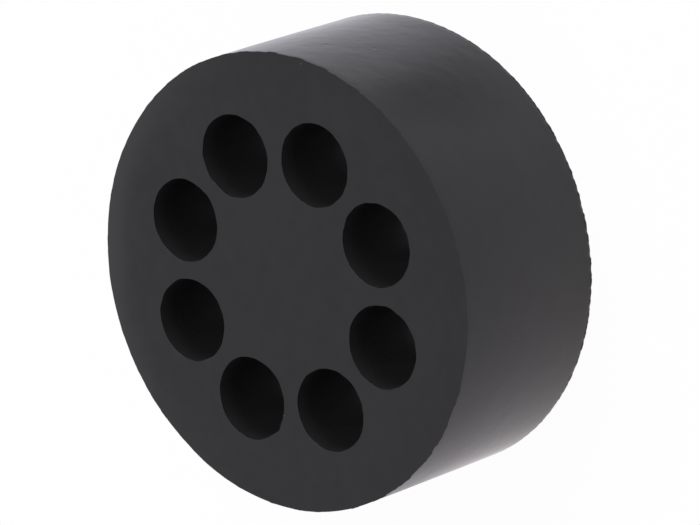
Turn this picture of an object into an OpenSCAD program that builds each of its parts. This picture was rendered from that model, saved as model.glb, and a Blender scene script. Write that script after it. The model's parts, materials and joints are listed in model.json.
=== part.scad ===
// A solid rubber disc that seals several cables at once inside a cable gland.
// It stands on its rear face. The axis runs along +Z to the front face,
// and the origin is the middle of the rear face.

/* [Disc] */
// Outside diameter of the wall that the gland squeezes
disc_d = 33; // [28:0.5:60]
// Thickness from the rear face to the front face
disc_h = 14; // [4:0.5:40]
// Radius on the outer rims of both faces
rim_r = 0.15; // [0.05:0.05:1]

/* [Cable holes] */
// Number of holes in the ring, one for each cable
hole_count = 8; // [3:1:10]
// Diameter of each hole
hole_d = 6; // [2:0.1:7.5]
// Rubber between two neighbouring holes where it is thinnest
web_t = 1.27; // [0.6:0.01:3]
// Radius on the mouths of the holes, on both faces
mouth_r = 0.1; // [0.05:0.01:0.4]

/* [Hidden] */
$fn = 96;
rubber_colour = [0.09, 0.09, 0.095];
disc_r = disc_d / 2;
hole_r = hole_d / 2;
hole_step = 360 / hole_count;
// neighbouring holes stand one diameter and one web apart, which sets the ring's radius
ring_r = (hole_d + web_t) / 2 / sin(hole_step / 2);
// how far a cut runs past the face that it opens through
cut_over = 1;

// Half section of the disc: a rectangle whose two outer corners are quarter rounds
module disc_section() {
    square([disc_r - rim_r, disc_h]);
    translate([0, rim_r]) square([disc_r, disc_h - 2 * rim_r]);
    for (z = [rim_r, disc_h - rim_r])
        translate([disc_r - rim_r, z]) circle(r = rim_r);
}

// Half section of the flare at one mouth, with the face at y = 0 and the hole below it:
// what lies between the hole's wall and the quarter round that meets the face
module mouth_section() {
    difference() {
        translate([0, -mouth_r]) square([hole_r + mouth_r, mouth_r + cut_over]);
        translate([hole_r + mouth_r, -mouth_r]) circle(r = mouth_r);
    }
}

// One cable hole from face to face, with a rounded mouth at each end
module cable_hole() {
    translate([0, 0, -cut_over]) cylinder(r = hole_r, h = disc_h + 2 * cut_over);
    translate([0, 0, disc_h]) rotate_extrude() mouth_section();
    mirror([0, 0, 1]) rotate_extrude() mouth_section();
}

// The whole insert: one moulded piece, with the first hole on +X
module sealing_insert() {
    color(rubber_colour)
        difference() {
            rotate_extrude() disc_section();
            for (i = [0 : hole_count - 1])
                rotate([0, 0, i * hole_step]) translate([ring_r, 0, 0]) cable_hole();
        }
}

sealing_insert();
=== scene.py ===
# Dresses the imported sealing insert: a thick disc of matte black rubber with a ring of eight holes.
# All places are in metres in the part's own frame. The disc lies on its rear face, its axis on +Z.

import json
import math

import bmesh
import bpy
from mathutils import Matrix, Vector, noise
from mathutils.geometry import delaunay_2d_cdt


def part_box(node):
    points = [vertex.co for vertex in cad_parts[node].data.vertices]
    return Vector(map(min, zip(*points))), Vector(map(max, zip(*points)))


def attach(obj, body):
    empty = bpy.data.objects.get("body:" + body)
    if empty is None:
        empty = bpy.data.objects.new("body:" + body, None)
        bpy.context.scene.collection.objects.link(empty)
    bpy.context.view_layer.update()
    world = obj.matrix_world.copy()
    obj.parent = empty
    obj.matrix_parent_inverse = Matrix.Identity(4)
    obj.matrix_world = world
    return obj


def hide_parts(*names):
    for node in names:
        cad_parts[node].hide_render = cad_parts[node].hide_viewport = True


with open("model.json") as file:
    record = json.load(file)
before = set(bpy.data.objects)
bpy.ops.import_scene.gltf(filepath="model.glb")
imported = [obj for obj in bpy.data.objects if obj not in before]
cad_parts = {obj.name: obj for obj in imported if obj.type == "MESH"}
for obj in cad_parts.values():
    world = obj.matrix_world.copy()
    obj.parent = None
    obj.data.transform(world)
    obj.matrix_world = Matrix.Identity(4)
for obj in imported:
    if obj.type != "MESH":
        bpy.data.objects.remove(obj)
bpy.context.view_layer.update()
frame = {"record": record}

MM = 0.001

# Sizes that the frame gives
NODE = "sealing_insert"
low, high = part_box(NODE)
DISC_R = (high.x - low.x) / 2
REAR_Z = low.z
FRONT_Z = high.z
MIDDLE_Z = (FRONT_Z + REAR_Z) / 2
HEIGHT = FRONT_Z - REAR_Z
BORES = [m for m in frame["record"]["mounts"] if m["kind"] == "bore"]
HOLE_R = BORES[0]["dims"]["r_mm"] * MM
HOLE_CENTRES = [Vector(m["pos_m"][:2]) for m in BORES]
DISC_CENTRE = Vector((0, 0))

# Edges of the moulding, which are crisp: a thin trimmed lip round the outer rims,
# and a tiny round on the mouths of the holes
LIP_THICKNESS = 0.03 * MM
LIP_UNDERCUT = 0.004 * MM
MOUTH_R = 0.01 * MM

# How finely the surfaces are divided
RIM_STEPS = 1280
HOLE_STEPS = 112
MOUTH_STEPS = 2
FACE_GRID = 0.45 * MM
# Depths below a face of the rings on the outer wall, and of those in the holes, in millimetres
WALL_DEPTHS = (0.08, 0.16, 0.3, 0.5, 0.9, 1.4, 2.0, 2.6, 3.2, 3.8, 4.4, 5.0, 5.6, 6.3)
HOLE_DEPTHS = (0.2, 0.4, 0.8, 1.5, 3.0, 5.0)
# Rings on the faces beside the rims and the mouths: distance from the edge, and points in the ring
RIM_SUPPORT = [(0.08 * MM, 1280), (0.25 * MM, 640), (0.55 * MM, 320)]
MOUTH_SUPPORT = [(0.06 * MM, 112), (0.22 * MM, 56)]
# How far the grid over a face stays clear of the rim and of the mouths
CLEAR_OF_RIM = 0.75 * MM
CLEAR_OF_MOUTH = 0.45 * MM
# Points nearer than this become one, in millimetres
SAME_POINT = 1e-6

# Form of the whole moulding: how much fuller it is than its nominal size, how far its wall bulges,
# and how fast these fade from the wall towards the axis
FULLNESS = 0.015 * MM
BARREL = 0.03 * MM
FADE_POWER = 8
# How far the rims are out of round, how fast that changes, and where in the noise it starts
OUT_OF_ROUND = 0.05 * MM
ROUND_PACE = 1.6
ROUND_PLACE = Vector((0, 10.2, 3.4))
# How far the faces fall away at the rim, from how far inside it, and how deep below the faces
FACE_CROWN = 0.05 * MM
CROWN_WIDTH = 2.5 * MM
CROWN_DEPTH = 0.3 * MM
# Slow unevenness of all surfaces: its depth on the faces and elsewhere, its size, and how upright
# a normal is at least on a face
FACE_WAVE = 0.003 * MM
WALL_WAVE = 0.008 * MM
WAVE_SIZE = 2.2 * MM
FACE_NORMAL = 0.7

# The front rim's trimmed lip is torn. Its teeth reach outwards by the second of these in the middle
# of some stretches, and by the first far from them. Each stretch has a direction and a half width,
# in degrees.
TORN_LEAST = 0.03 * MM
TORN_MOST = 0.085 * MM
TORN_STRETCHES = [(-38, 26), (-148, 30)]
# Teeth: share, steepness and size in millimetres of each layer of noise, and what lifts them all
FRONT_TEETH = [(0.45, 6, 0.75), (0.2, 5, 0.34)]
TEETH_LIFT = 0.27
# The rear rim is finely rough round one direction, and smoother away from it: depth, how far from
# the edge it reaches, direction and half width in degrees, share elsewhere, and layers as above
REAR_ROUGH = 0.05 * MM
REAR_REACH = 0.12 * MM
REAR_STRETCH = (-98, 45)
REAR_LEAST = 0.15
REAR_TEETH = [(0.6, 6, 0.5), (0.4, 5, 0.28)]
# Places where a rim stands in, or out if the depth is below 0: face, direction and half width in
# degrees, and depth
RIM_DENTS = [
    ("front", 118, 8, 0.06 * MM),
    ("front", 63, 5, 0.03 * MM),
    ("rear", -101, 6, 0.03 * MM),
    ("front", -22, 20, 0.015 * MM),
    ("front", -163, 20, 0.015 * MM),
    ("rear", -72, 60, -0.04 * MM),
]
DENT_REACH = 3 * MM

# The holes' mouths are cut a little unevenly: depth of it, how far from the edge it reaches, and
# the share and the size in millimetres of each layer
MOUTH_WAVE = 0.05 * MM
MOUTH_REACH = 0.4 * MM
MOUTH_LAYERS = [(1, 0.9), (0.5, 0.4)]
# The front's mouths take their noise from this height, and the rear's from as far below 0
MOUTH_PLACE = 3 * MM
# Past this depth, or this distance outside the edge, a mouth changes nothing
MOUTH_DEEPEST = 1.2 * MM
MOUTH_WIDEST = 1 * MM
# A nick in the front edge of the fourth hole
NICK_HOLE = 3
NICK_TURN = math.radians(-155)
NICK_SIDE = Vector((math.cos(NICK_TURN), math.sin(NICK_TURN)))
NICK_PLACE = HOLE_CENTRES[NICK_HOLE] + NICK_SIDE * (HOLE_R + MOUTH_R)
NICK_R = 0.4 * MM
NICK_DEPTH = 0.13 * MM


# Wear

def bump(distance, reach):
    """A smooth hill, 1 in its middle and near 0 past its reach."""
    return math.exp(-((distance / reach) ** 2))


def turned_bump(turn, middle, width):
    """A smooth hill round one direction. The turn is in radians, the rest in degrees."""
    apart = abs((math.degrees(turn) - middle + 180) % 360 - 180)
    return bump(apart, width)


def torn(place, layers, height=0):
    """Steep noise, as a torn edge has, at a place in millimetres, raised by a height."""
    for share, steepness, size in layers:
        height += share * math.tanh(steepness * noise.noise(place / size))
    return height


def face_depth(z):
    """Depth below the nearer face."""
    return min(z - REAR_Z, FRONT_Z - z)


def out_of_round(turn, z):
    """How far the rims stand out at a direction and a height, with their dents."""
    around = Vector((math.cos(turn), math.sin(turn), z / HEIGHT)) * ROUND_PACE
    inwards = OUT_OF_ROUND * noise.noise(around + ROUND_PLACE)
    for face, middle, width, depth in RIM_DENTS:
        face_z = FRONT_Z if face == "front" else REAR_Z
        inwards += depth * turned_bump(turn, middle, width) * bump(z - face_z, DENT_REACH)
    return -inwards


def front_lip(radius, turn, depth, place):
    """Outward shift of the front rim's torn lip."""
    if radius < DISC_R - LIP_UNDERCUT or depth > LIP_THICKNESS + LIP_UNDERCUT / 2:
        return 0
    share = max(turned_bump(turn, middle, width) for middle, width in TORN_STRETCHES)
    reach = TORN_LEAST + (TORN_MOST - TORN_LEAST) * share
    return reach * max(0, torn(place, FRONT_TEETH, TEETH_LIFT))


def rear_roughness(radius, turn, depth, place):
    """Outward shift of a point near the finely rough rear rim."""
    share = REAR_LEAST + (1 - REAR_LEAST) * turned_bump(turn, *REAR_STRETCH)
    near = bump(math.hypot(radius - DISC_R, depth), REAR_REACH)
    return REAR_ROUGH * share * torn(place, REAR_TEETH) * near


def rim_offset(radius, turn, z):
    """Outward shift of a point near an outer rim."""
    front = z > MIDDLE_Z
    face_z = FRONT_Z if front else REAR_Z
    place = Vector((DISC_R * math.cos(turn), DISC_R * math.sin(turn), face_z)) / MM
    shift = front_lip if front else rear_roughness
    return shift(radius, turn, abs(z - face_z), place)


def nick_shift(co, depth):
    """How far the nick takes back a point near its hole's mouth."""
    return NICK_DEPTH * bump((co.xy - NICK_PLACE).length, NICK_R) * bump(depth, NICK_R)


def mouth_offset(co):
    """Shift of a point near a hole's mouth."""
    depth = face_depth(co.z)
    if depth > MOUTH_DEEPEST:
        return Vector()
    side = 1 if co.z > MIDDLE_Z else -1
    for index, centre in enumerate(HOLE_CENTRES):
        away = co.xy - centre
        if away.length > HOLE_R + MOUTH_WIDEST:
            continue
        outwards = Vector((away.x, away.y, 0)).normalized()
        place = Vector((co.x, co.y, side * MOUTH_PLACE)) / MM
        wave = MOUTH_WAVE * sum(share * noise.noise(place / size) for share, size in MOUTH_LAYERS)
        shift = outwards * (wave * bump(math.hypot(away.length - HOLE_R, depth), MOUTH_REACH))
        if index == NICK_HOLE and side > 0:
            shift += outwards * nick_shift(co, depth)
        return shift
    return Vector()


def barrel_rise(z):
    """How far the wall bulges around its middle height."""
    share = (z - MIDDLE_Z) / (HEIGHT / 2)
    return BARREL * (1 - share * share)


def crown_drop(radius):
    """How far the faces fall away towards the rim."""
    share = max(0, (radius - (DISC_R - CROWN_WIDTH)) / CROWN_WIDTH)
    return FACE_CROWN * share * share


def worn(vertex):
    """Where the real moulding has a point of the nominal disc."""
    co = vertex.co
    radius = co.xy.length
    turn = math.atan2(co.y, co.x)
    fuller = FULLNESS + out_of_round(turn, co.z) + barrel_rise(co.z)
    fuller *= (radius / DISC_R) ** FADE_POWER
    rim_out = rim_offset(radius, turn, co.z)
    shift = Vector((co.x, co.y, 0)).normalized() * (fuller + rim_out)
    side = 1 if co.z > MIDDLE_Z else -1
    shift.z -= side * crown_drop(radius + rim_out) * bump(face_depth(co.z), CROWN_DEPTH)
    shift += mouth_offset(co)
    wave = FACE_WAVE if abs(vertex.normal.z) > FACE_NORMAL else WALL_WAVE
    shift += vertex.normal * (wave * noise.noise(co / WAVE_SIZE))
    return co + shift


def wear(mesh):
    """Moves every point of the nominal disc to where the real moulding has it."""
    mesh.normal_update()
    moved = [worn(vertex) for vertex in mesh.verts]
    for vertex, place in zip(mesh.verts, moved):
        vertex.co = place


# Nominal surfaces

def circle_points(centre, radius, steps):
    """Points of a circle, anticlockwise from +X."""
    points = []
    for i in range(steps):
        turn = 2 * math.pi * i / steps
        x = centre.x + radius * math.cos(turn)
        y = centre.y + radius * math.sin(turn)
        points.append(Vector((x, y)))
    return points


def ring(mesh, centre, radius, z, steps):
    """A ring of new vertices at one height."""
    return [mesh.verts.new((p.x, p.y, z)) for p in circle_points(centre, radius, steps)]


def bridge(mesh, lower, upper, outwards):
    """A band of faces between two rings, turned away from the axis or towards it."""
    for i in range(len(lower)):
        j = (i + 1) % len(lower)
        corners = (lower[i], lower[j], upper[j], upper[i])
        mesh.faces.new(corners if outwards else corners[::-1])


def sharpen(mesh, rings):
    """Marks rings of edges as sharp, so that each side keeps its own shading up to them."""
    for one in rings:
        for i, vertex in enumerate(one):
            mesh.edges.get((vertex, one[i - 1])).smooth = False


def quarter(steps, radius):
    """Points of a quarter round: distance from the wall, and depth below the face."""
    turns = [math.pi / 2 * i / steps for i in range(steps + 1)]
    return [(radius * (1 - math.sin(t)), radius * (1 - math.cos(t))) for t in turns]


def wall_rings(mesh, centre, radius, edge, depths, steps, hollow):
    """The rings of a wall from the rear face to the front face, with the same edge at both ends.
    The edge is in metres and the depths are in millimetres."""
    half = edge + [(0, depth * MM) for depth in depths]
    middle = [(0, HEIGHT / 2)]
    sign = 1 if hollow else -1
    places = [(inset, REAR_Z + depth) for inset, depth in half + middle]
    places += [(inset, FRONT_Z - depth) for inset, depth in reversed(half)]
    return [ring(mesh, centre, radius + sign * inset, z, steps) for inset, z in places]


def in_hole(point, reach):
    """True if a point of the face is within a distance of a hole's axis."""
    return any((point - centre).length < reach for centre in HOLE_CENTRES)


def grid_points():
    """A triangular grid over the face, clear of the rim and the mouths."""
    rim_reach = DISC_R - CLEAR_OF_RIM
    mouth_reach = HOLE_R + MOUTH_R + CLEAR_OF_MOUTH
    row_step = FACE_GRID * math.sqrt(3) / 2
    rows = math.ceil(DISC_R / row_step)
    columns = math.ceil(DISC_R / FACE_GRID)
    points = []
    for row in range(-rows, rows + 1):
        for column in range(-columns, columns + 1):
            point = Vector(((column + row % 2 / 2) * FACE_GRID, row * row_step))
            if point.length < rim_reach and not in_hole(point, mouth_reach):
                points.append(point)
    return points


def support_points():
    """Extra rings beside the rim and the mouths, which keep the faces flat up to their edges."""
    points = []
    for inset, steps in RIM_SUPPORT:
        points += circle_points(DISC_CENTRE, DISC_R - inset, steps)
    for centre in HOLE_CENTRES:
        for outset, steps in MOUTH_SUPPORT:
            points += circle_points(centre, HOLE_R + MOUTH_R + outset, steps)
    return points


def face_sheet(mesh, z, rings, upwards):
    """The flat face inside the first ring and outside the others."""
    edge_verts = [vertex for one in rings for vertex in one]
    loose = support_points() + grid_points()
    # The triangulation works in millimetres, where its tolerance is small beside the steps
    flat = [vertex.co.xy / MM for vertex in edge_verts] + [point / MM for point in loose]
    edges = []
    start = 0
    for one in rings:
        edges += [(start + i, start + (i + 1) % len(one)) for i in range(len(one))]
        start += len(one)
    points, _, triangles, sources, _, _ = delaunay_2d_cdt(flat, edges, [], 0, SAME_POINT)
    verts = []
    for point, source in zip(points, sources):
        if source and source[0] < len(edge_verts):
            verts.append(edge_verts[source[0]])
        else:
            verts.append(mesh.verts.new((point.x * MM, point.y * MM, z)))
    for triangle in triangles:
        middle = sum((points[i] for i in triangle), Vector((0, 0))) / 3 * MM
        if not in_hole(middle, HOLE_R + MOUTH_R):
            corners = [verts[i] for i in triangle]
            mesh.faces.new(corners if upwards else corners[::-1])


def insert_mesh():
    """The whole insert as one closed surface."""
    mesh = bmesh.new()
    lip = [(0, 0), (0, LIP_THICKNESS), (0, LIP_THICKNESS + LIP_UNDERCUT)]
    mouth = quarter(MOUTH_STEPS, MOUTH_R)
    outer = wall_rings(mesh, DISC_CENTRE, DISC_R, lip, WALL_DEPTHS, RIM_STEPS, False)
    walls = [outer]
    for centre in HOLE_CENTRES:
        walls.append(wall_rings(mesh, centre, HOLE_R, mouth, HOLE_DEPTHS, HOLE_STEPS, True))
    for rings in walls:
        for lower, upper in zip(rings, rings[1:]):
            bridge(mesh, lower, upper, rings is outer)
    face_sheet(mesh, FRONT_Z, [rings[-1] for rings in walls], True)
    face_sheet(mesh, REAR_Z, [rings[0] for rings in walls], False)
    for rings in walls:
        sharpen(mesh, (rings[0], rings[-1]))
    sharpen(mesh, outer[1:len(lip)] + outer[-len(lip):-1])
    wear(mesh)
    for face in mesh.faces:
        face.smooth = True
    return mesh


# Nodes

def node(tree, kind, inputs, **settings):
    """A new node with its settings, and with values or links on its inputs."""
    made = tree.nodes.new(kind)
    for name, value in settings.items():
        setattr(made, name, value)
    for key, value in inputs.items():
        if isinstance(value, bpy.types.NodeSocket):
            tree.links.new(value, made.inputs[key])
        else:
            made.inputs[key].default_value = value
    return made


def math_node(tree, operation, a, b):
    """The result of one sum on two numbers or links."""
    return node(tree, "ShaderNodeMath", {0: a, 1: b}, operation=operation).outputs[0]


def plus(tree, a, b):
    """Two numbers or links added."""
    return math_node(tree, "ADD", a, b)


def times(tree, a, b):
    """Two numbers or links multiplied."""
    return math_node(tree, "MULTIPLY", a, b)


def mapped(tree, value, span, result):
    """A value carried softly from one span to another, and held at its ends."""
    inputs = {"Value": value, "From Min": span[0], "From Max": span[1]}
    inputs.update({"To Min": result[0], "To Max": result[1]})
    made = node(tree, "ShaderNodeMapRange", inputs, interpolation_type="SMOOTHSTEP")
    return made.outputs["Result"]


def mixed(tree, factor, a, b):
    """A colour between two others. The Mix node's colours are its sockets 6 and 7, and output 2."""
    return node(tree, "ShaderNodeMix", {0: factor, 6: a, 7: b}, data_type="RGBA").outputs[2]


def distance(tree, a, b):
    """How far one place is from another."""
    return node(tree, "ShaderNodeVectorMath", {0: a, 1: b}, operation="DISTANCE").outputs["Value"]


def from_axis(tree, axes):
    """How far a place is from the disc's axis."""
    inputs = {"X": axes.outputs["X"], "Y": axes.outputs["Y"]}
    flat = node(tree, "ShaderNodeCombineXYZ", inputs).outputs["Vector"]
    return node(tree, "ShaderNodeVectorMath", {0: flat}, operation="LENGTH").outputs["Value"]


def grain(tree, place, size, detail):
    """Noise whose features are about one size across."""
    inputs = {"Vector": place, "Scale": 1 / size, "Detail": detail, "Roughness": GRAIN_FALLOFF}
    return node(tree, "ShaderNodeTexNoise", inputs).outputs["Fac"]


def on_wall(spots):
    """The places and sizes of spots on the outer wall, from their directions and heights."""
    placed = []
    for direction, height, size in spots:
        turn = math.radians(direction)
        placed.append(((DISC_R * math.cos(turn), DISC_R * math.sin(turn), height), size))
    return placed


def spot_mask(tree, place, spots):
    """1 in the middle of each spot and 0 off the spots."""
    mask = 0.0
    for middle, size in spots:
        spot = mapped(tree, distance(tree, place, middle), (SPOT_CORE * size, size), (1, 0))
        mask = math_node(tree, "MAXIMUM", mask, spot)
    return mask


def new_tree(name):
    """An empty material and its node tree."""
    material = bpy.data.materials.new(name)
    material.use_nodes = True
    material.node_tree.nodes.clear()
    return material, material.node_tree


# Rubber

# Colours of the rubber, and of the dust on it
RUBBER_DARK = (0.0100, 0.0096, 0.0102, 1)
RUBBER_LIGHT = (0.0120, 0.0116, 0.0123, 1)
DUST = (0.11, 0.105, 0.10, 1)
RUBBER_IOR = 1.42
# Noises in the rubber: size of their features, and number of finer layers
MOTTLE = (1.1 * MM, 3)
BLOTCH = (6 * MM, 2)
SWELL = (1.5 * MM, 2)
FINE_GRAIN = (0.12 * MM, 2)
# How much weaker each finer layer is
GRAIN_FALLOFF = 0.55
# The tone is this share of the mottle and the rest of the blotches. It is darkest at the first of
# two noise values and lightest at the second.
MOTTLE_SHARE = 0.6
TONE_SPAN = (0.35, 0.65)

# Painted light and shade in the holes, by share of a depth below the nearer face: lighter rubber at
# the mouths, darker further in as painted shade, and lighter again deep in the middle as painted
# light
HOLE_SPAN = 5 * MM
HOLE_PAINTED_LIGHT = [
    (0.0, (0.028, 0.0275, 0.0275, 1)),
    (0.1, (0.0245, 0.024, 0.024, 1)),
    (0.3, (0.0155, 0.0152, 0.0152, 1)),
    (0.45, (0.014, 0.0137, 0.0137, 1)),
    (1.0, (0.0225, 0.022, 0.022, 1)),
]
# The holes lie further inside the rim than the first of these, and the outer wall is within the
# second. What is special about their walls sets in between the last two, as depths below a face.
HOLE_ZONE = 2 * MM
WALL_ZONE = 0.3 * MM
OFF_FACE = (0.02 * MM, 0.12 * MM)

# Specks of dust on the outer wall: direction in degrees, height and size
WALL_SPECKS = [
    (-124.7, 8.27 * MM, 0.11 * MM),
    (-160, 9.6 * MM, 0.06 * MM),
    (-44, 9.5 * MM, 0.05 * MM),
]
# Specks on the front face: place and size
FACE_SPECKS = [
    ((13.541 * MM, -8.896 * MM, FRONT_Z), 0.08 * MM),
    ((-8.675 * MM, 4.40 * MM, FRONT_Z), 0.06 * MM),
]
# Tiny pits in the outer wall: direction in degrees, height and size
WALL_PITS = [(-29.6, 10.0 * MM, 0.22 * MM), (-38.4, 7.8 * MM, 0.2 * MM)]
PIT_DEPTH = 0.03 * MM
# Share of a spot's size in which it is at its full strength
SPOT_CORE = 0.3

# Roughness of the faces, of the holes' walls and of the outer wall
FACE_ROUGHNESS = 0.14
HOLE_ROUGHNESS = 0.24
WALL_ROUGHNESS = 0.155
# How the tone changes it: between two noise values it goes from this much below to this much above
ROUGHNESS_TONES = (0.3, 0.7)
ROUGHNESS_CHANGE = (-0.015, 0.02)
# How much duller the outer wall's front is than its rear, on the -X side and on the +X side
WALL_DULLING = (0.18, 0.06)
# How much duller the specks of dust are than the rubber
DUST_DULLING = 0.4
# Where the two sides of the wall differ in full
BOTH_SIDES = (-8 * MM, 8 * MM)

# Height of the soft unevenness on the outer wall, its shares on the -X side and on the +X side, and
# the depths below a face over which it sets in
SWELL_HEIGHT = 0.032 * MM
SWELL_SHARES = (0.5, 1)
SWELL_DEPTHS = (0, 0.5 * MM)
# Height and strength of the fine grain
GRAIN_HEIGHT = 0.002 * MM
GRAIN_STRENGTH = 0.5


def rubber_tone(tree, place):
    """Noise for the rubber's tone: a fine mottle and wide blotches."""
    mottle = times(tree, grain(tree, place, *MOTTLE), MOTTLE_SHARE)
    blotch = times(tree, grain(tree, place, *BLOTCH), 1 - MOTTLE_SHARE)
    return plus(tree, mottle, blotch)


def hole_painted_light(tree, depth):
    """Painted light and shade inside the holes: the rubber's colour there, by depth."""
    share = math_node(tree, "DIVIDE", depth, HOLE_SPAN)
    made = node(tree, "ShaderNodeValToRGB", {"Fac": share})
    stops = made.color_ramp.elements
    ready = len(stops)
    for index, (position, shade) in enumerate(HOLE_PAINTED_LIGHT):
        stop = stops[index] if index < ready else stops.new(position)
        stop.position = position
        stop.color = shade
    return made.outputs["Color"]


def rubber_colour(tree, tone, depth, hole, dust):
    """The rubber's colour, with its mottle, painted light and shade in its holes, and its dust
    specks.
    """
    plain = mixed(tree, mapped(tree, tone, TONE_SPAN, (0, 1)), RUBBER_DARK, RUBBER_LIGHT)
    return mixed(tree, dust, mixed(tree, hole, plain, hole_painted_light(tree, depth)), DUST)


def rubber_roughness(tree, axes, tone, wall, hole, dust):
    """The rubber's roughness, which differs between the faces, the holes and the outer wall."""
    least, most = ROUGHNESS_CHANGE
    rough = mapped(tree, tone, ROUGHNESS_TONES, (FACE_ROUGHNESS + least, FACE_ROUGHNESS + most))
    dulling = mapped(tree, axes.outputs["X"], BOTH_SIDES, WALL_DULLING)
    frontness = mapped(tree, axes.outputs["Z"], (REAR_Z, FRONT_Z), (-0.5, 0.5))
    more = plus(tree, times(tree, dulling, frontness), WALL_ROUGHNESS - FACE_ROUGHNESS)
    rough = plus(tree, rough, times(tree, more, wall))
    rough = plus(tree, rough, times(tree, HOLE_ROUGHNESS - FACE_ROUGHNESS, hole))
    return plus(tree, rough, times(tree, dust, DUST_DULLING))


def rubber_normal(tree, place, axes, depth, wall):
    """The mould's soft unevenness and tiny pits on the outer wall, and a fine grain all over."""
    share = times(tree, mapped(tree, depth, SWELL_DEPTHS, (0, 1)), wall)
    share = times(tree, share, mapped(tree, axes.outputs["X"], BOTH_SIDES, SWELL_SHARES))
    pits = times(tree, spot_mask(tree, place, on_wall(WALL_PITS)), PIT_DEPTH / SWELL_HEIGHT)
    height = math_node(tree, "SUBTRACT", times(tree, grain(tree, place, *SWELL), share), pits)
    inputs = {"Height": height, "Distance": SWELL_HEIGHT, "Strength": 1.0}
    uneven = node(tree, "ShaderNodeBump", inputs).outputs["Normal"]
    inputs = {"Height": grain(tree, place, *FINE_GRAIN), "Distance": GRAIN_HEIGHT, "Normal": uneven}
    inputs["Strength"] = GRAIN_STRENGTH
    return node(tree, "ShaderNodeBump", inputs).outputs["Normal"]


def rubber_material():
    """Matte black moulded rubber with a faint mottle, a fine grain, a little dust, and painted light
    and shade in the holes.
    """
    material, tree = new_tree("moulded_rubber")
    place = node(tree, "ShaderNodeTexCoord", {}).outputs["Object"]
    axes = node(tree, "ShaderNodeSeparateXYZ", {0: place})
    radius = from_axis(tree, axes)
    from_front = math_node(tree, "SUBTRACT", FRONT_Z, axes.outputs["Z"])
    from_rear = math_node(tree, "SUBTRACT", axes.outputs["Z"], REAR_Z)
    depth = math_node(tree, "MINIMUM", from_front, from_rear)
    off_face = mapped(tree, depth, OFF_FACE, (0, 1))
    hole = times(tree, math_node(tree, "LESS_THAN", radius, DISC_R - HOLE_ZONE), off_face)
    wall = times(tree, math_node(tree, "GREATER_THAN", radius, DISC_R - WALL_ZONE), off_face)
    dust = spot_mask(tree, place, on_wall(WALL_SPECKS) + FACE_SPECKS)
    tone = rubber_tone(tree, place)
    inputs = {
        "Base Color": rubber_colour(tree, tone, depth, hole, dust),
        "Roughness": rubber_roughness(tree, axes, tone, wall, hole, dust),
        "IOR": RUBBER_IOR,
        "Normal": rubber_normal(tree, place, axes, depth, wall),
    }
    shader = node(tree, "ShaderNodeBsdfPrincipled", inputs)
    node(tree, "ShaderNodeOutputMaterial", {"Surface": shader.outputs["BSDF"]})
    return material


# Stage: floor, surroundings and lamps

FLOOR_SIZE = 4.0
FLOOR_DROP = 0.03 * MM
FLOOR_COLOUR = (0.9, 0.9, 0.9, 1)
WHITE = (1, 1, 1, 1)
# Painted light in the floor's white as the rubber mirrors it: cooler on the +X side, where the key
# lamp stands, and a little darker away from the disc, round which a painted pool of the lamps' light
# lies. It is full up to POOL_NEAR from the pool's middle and gone at POOL_FAR.
PAINTED_COOL_LIGHT = (0.92, 0.895, 1.0, 1)
PAINTED_WARM_LIGHT = (1.0, 0.94, 0.965, 1)
OUTSIDE_PAINTED_POOL = (0.835, 0.785, 0.85, 1)
WORLD_WHITE = (0.955, 0.935, 1.0, 1)
COOL_SIDE = 15 * MM
POOL_MIDDLE = (2.5 * MM, 0, 0)
POOL_NEAR = 16 * MM
POOL_FAR = 30 * MM
# Painted shade: a dimmer place beside the disc, which the photo's wall mirrors between its two
# bright sides.
# DIM_REACH is half its length, which lies along X, and DIM_SHAPE is its length over its width.
PAINTED_SHADE_WHITE = (0.43, 0.42, 0.46, 1)
DIM_MIDDLE = (16.2 * MM, -17.2 * MM)
DIM_REACH = 12 * MM
DIM_SHAPE = 1.5
# How much of the floor shows as plain white to the camera, and as its painted white in reflections
FLOOR_WHITE_SEEN = 0.965
FLOOR_WHITE_MIRRORED = 0.73
# Strength of the light from all around, how much of it shows as plain white to the camera, and how
# much as studio white in reflections
WORLD_LIGHT = 0.22
WORLD_WHITE_SEEN = 1.0
WORLD_WHITE_MIRRORED = 0.64
LAMP_DISTANCE = 1.0
# Each lamp's name, azimuth and elevation in degrees, width, share of the light, and colour
LAMPS = [
    ("key_lamp", -22, 42, 0.79, 0.42, (0.97, 0.98, 1.0)),
    ("top_lamp", 98, 84, 0.70, 0.29, (0.97, 0.98, 1.0)),
    ("fill_lamp", 250, 50, 1.13, 0.12, (1.0, 0.97, 0.98)),
    ("side_panel", 72, 24.3, 0.80, 0.036, (0.98, 0.97, 1.0)),
]


def seen_part(tree, share):
    """A factor for what the camera sees directly."""
    path = node(tree, "ShaderNodeLightPath", {})
    return times(tree, path.outputs["Is Camera Ray"], share)


def mirrored_part(tree, share):
    """A factor for what shows in reflections and through clear things."""
    path = node(tree, "ShaderNodeLightPath", {})
    glossy, clear = path.outputs["Is Glossy Ray"], path.outputs["Is Transmission Ray"]
    return times(tree, math_node(tree, "MAXIMUM", glossy, clear), share)


def whitened(tree, kind, surface, studio, seen, mirrored):
    """A surface or world that shows partly as plain white to the camera, and partly as the
    studio's white in reflections."""
    paper_white = node(tree, kind, {"Color": WHITE, "Strength": 1}).outputs[0]
    studio_white = node(tree, kind, {"Color": studio, "Strength": 1}).outputs[0]
    inputs = {0: mirrored_part(tree, mirrored), 1: surface, 2: studio_white}
    reflected = node(tree, "ShaderNodeMixShader", inputs).outputs[0]
    inputs = {0: seen_part(tree, seen), 1: reflected, 2: paper_white}
    return node(tree, "ShaderNodeMixShader", inputs).outputs[0]


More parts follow.
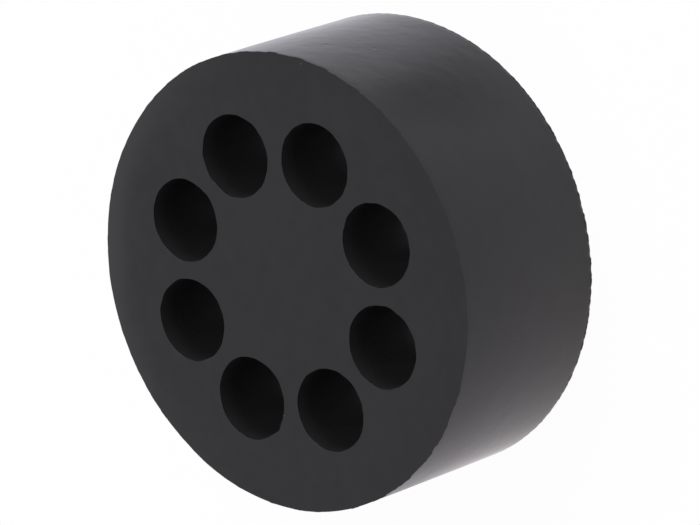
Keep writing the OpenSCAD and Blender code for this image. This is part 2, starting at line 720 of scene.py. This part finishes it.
def painted_floor_reflection(tree):
    """Painted light and shade in the floor's white, which reflections show: a cool side, a pool of
    light round the disc, and a dimmer place beside it.
    """
    place = node(tree, "ShaderNodeTexCoord", {}).outputs["Object"]
    across = node(tree, "ShaderNodeSeparateXYZ", {0: place}).outputs["X"]
    cool = mapped(tree, across, (-COOL_SIDE, COOL_SIDE), (0, 1))
    far = mapped(tree, distance(tree, place, POOL_MIDDLE), (POOL_NEAR, POOL_FAR), (0, 1))
    inputs = {0: place, 1: (1, DIM_SHAPE, 1)}
    stretched = node(tree, "ShaderNodeVectorMath", inputs, operation="MULTIPLY").outputs["Vector"]
    middle = (DIM_MIDDLE[0], DIM_MIDDLE[1] * DIM_SHAPE, 0)
    # Painted shade beside the disc
    painted_shade = mapped(tree, distance(tree, stretched, middle), (0, DIM_REACH), (1, 0))
    white = mixed(tree, cool, PAINTED_WARM_LIGHT, PAINTED_COOL_LIGHT)
    return mixed(tree, painted_shade, mixed(tree, far, white, OUTSIDE_PAINTED_POOL), PAINTED_SHADE_WHITE)


def floor_material():
    """A pale floor that shows as white paper and keeps a faint shadow. Reflections show painted
    light and shade on it.
    """
    material, tree = new_tree("floor_paper")
    paper = node(tree, "ShaderNodeBsdfDiffuse", {"Color": FLOOR_COLOUR}).outputs[0]
    # Painted light and shade, which only reflections show
    studio = painted_floor_reflection(tree)
    kind = "ShaderNodeEmission"
    shown = whitened(tree, kind, paper, studio, FLOOR_WHITE_SEEN, FLOOR_WHITE_MIRRORED)
    node(tree, "ShaderNodeOutputMaterial", {"Surface": shown})
    return material


def make_floor():
    """One large sheet just under the rear face."""
    half = FLOOR_SIZE / 2
    z = REAR_Z - FLOOR_DROP
    corners = [(-half, -half, z), (half, -half, z), (half, half, z), (-half, half, z)]
    mesh = bpy.data.meshes.new("floor")
    mesh.from_pydata(corners, [], [(0, 1, 2, 3)])
    floor = bpy.data.objects.new("floor", mesh)
    bpy.context.scene.collection.objects.link(floor)
    floor.data.materials.append(floor_material())


def make_world():
    """White surroundings, with a softer strength for the light that they give."""
    world = bpy.data.worlds.new("studio")
    world.use_nodes = True
    tree = world.node_tree
    tree.nodes.clear()
    kind = "ShaderNodeBackground"
    lit = node(tree, kind, {"Color": WHITE, "Strength": WORLD_LIGHT}).outputs[0]
    shown = whitened(tree, kind, lit, WORLD_WHITE, WORLD_WHITE_SEEN, WORLD_WHITE_MIRRORED)
    node(tree, "ShaderNodeOutputWorld", {"Surface": shown})
    bpy.context.scene.world = world


def lamp_direction(azimuth, elevation):
    """Unit vector from the disc towards a lamp: azimuth anticlockwise from +X, both in degrees."""
    a, e = math.radians(azimuth), math.radians(elevation)
    return Vector((math.cos(a) * math.cos(e), math.sin(a) * math.cos(e), math.sin(e)))


def soft_lamp(name, azimuth, elevation, width, share, colour):
    """A large round lamp aimed at the disc. Its share is the brightness that it alone gives to a
    white floor."""
    lamp = bpy.data.lights.new(name, "AREA")
    lamp.shape = "DISK"
    lamp.size = width
    lamp.energy = share * (math.pi * LAMP_DISTANCE) ** 2 / math.sin(math.radians(elevation))
    lamp.color = colour
    placed = bpy.data.objects.new(name, lamp)
    back = lamp_direction(azimuth, elevation)
    placed.location = back * LAMP_DISTANCE
    placed.rotation_euler = back.to_track_quat("Z", "Y").to_euler()
    bpy.context.scene.collection.objects.link(placed)


# Camera: where the photo was taken from, found from the outline and the eight hole edges. The
# angles are in degrees, the lens and the sensor in millimetres, and the view's end in metres.
VIEW_AZIMUTH = -2.338
VIEW_ELEVATION = 47.438
VIEW_ROLL = -108.879
VIEW_DISTANCE = 413.453 * MM
VIEW_AIM = Vector((-0.1719, -0.2530, 7.0)) * MM
VIEW_END = 10
LENS = 300.373
SENSOR = 36


def make_camera():
    """The photo's camera: it looks down on the disc, and its roll puts the wall on the right."""
    data = bpy.data.cameras.new("photo_camera")
    data.lens = LENS
    data.sensor_width = SENSOR
    data.clip_end = VIEW_END
    camera = bpy.data.objects.new("photo_camera", data)
    a, e = math.radians(VIEW_AZIMUTH), math.radians(VIEW_ELEVATION)
    back = Vector((math.sin(a) * math.cos(e), -math.cos(a) * math.cos(e), math.sin(e)))
    right = Vector((math.cos(a), math.sin(a), 0))
    level = Matrix((right, back.cross(right), back)).transposed()
    turned = level @ Matrix.Rotation(math.radians(VIEW_ROLL), 3, "Z")
    camera.matrix_world = Matrix.Translation(VIEW_AIM + back * VIEW_DISTANCE) @ turned.to_4x4()
    bpy.context.scene.collection.objects.link(camera)
    bpy.context.scene.camera = camera


def make_insert():
    """The rubber insert, which stands for the CAD solid."""
    data = bpy.data.meshes.new("insert_rubber")
    mesh = insert_mesh()
    mesh.to_mesh(data)
    mesh.free()
    insert = bpy.data.objects.new("insert_rubber", data)
    bpy.context.scene.collection.objects.link(insert)
    data.materials.append(rubber_material())
    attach(insert, "root")
    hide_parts(NODE)


make_insert()
make_floor()
make_world()
for lamp in LAMPS:
    soft_lamp(*lamp)
make_camera()
bpy.context.scene.view_settings.view_transform = "Standard"
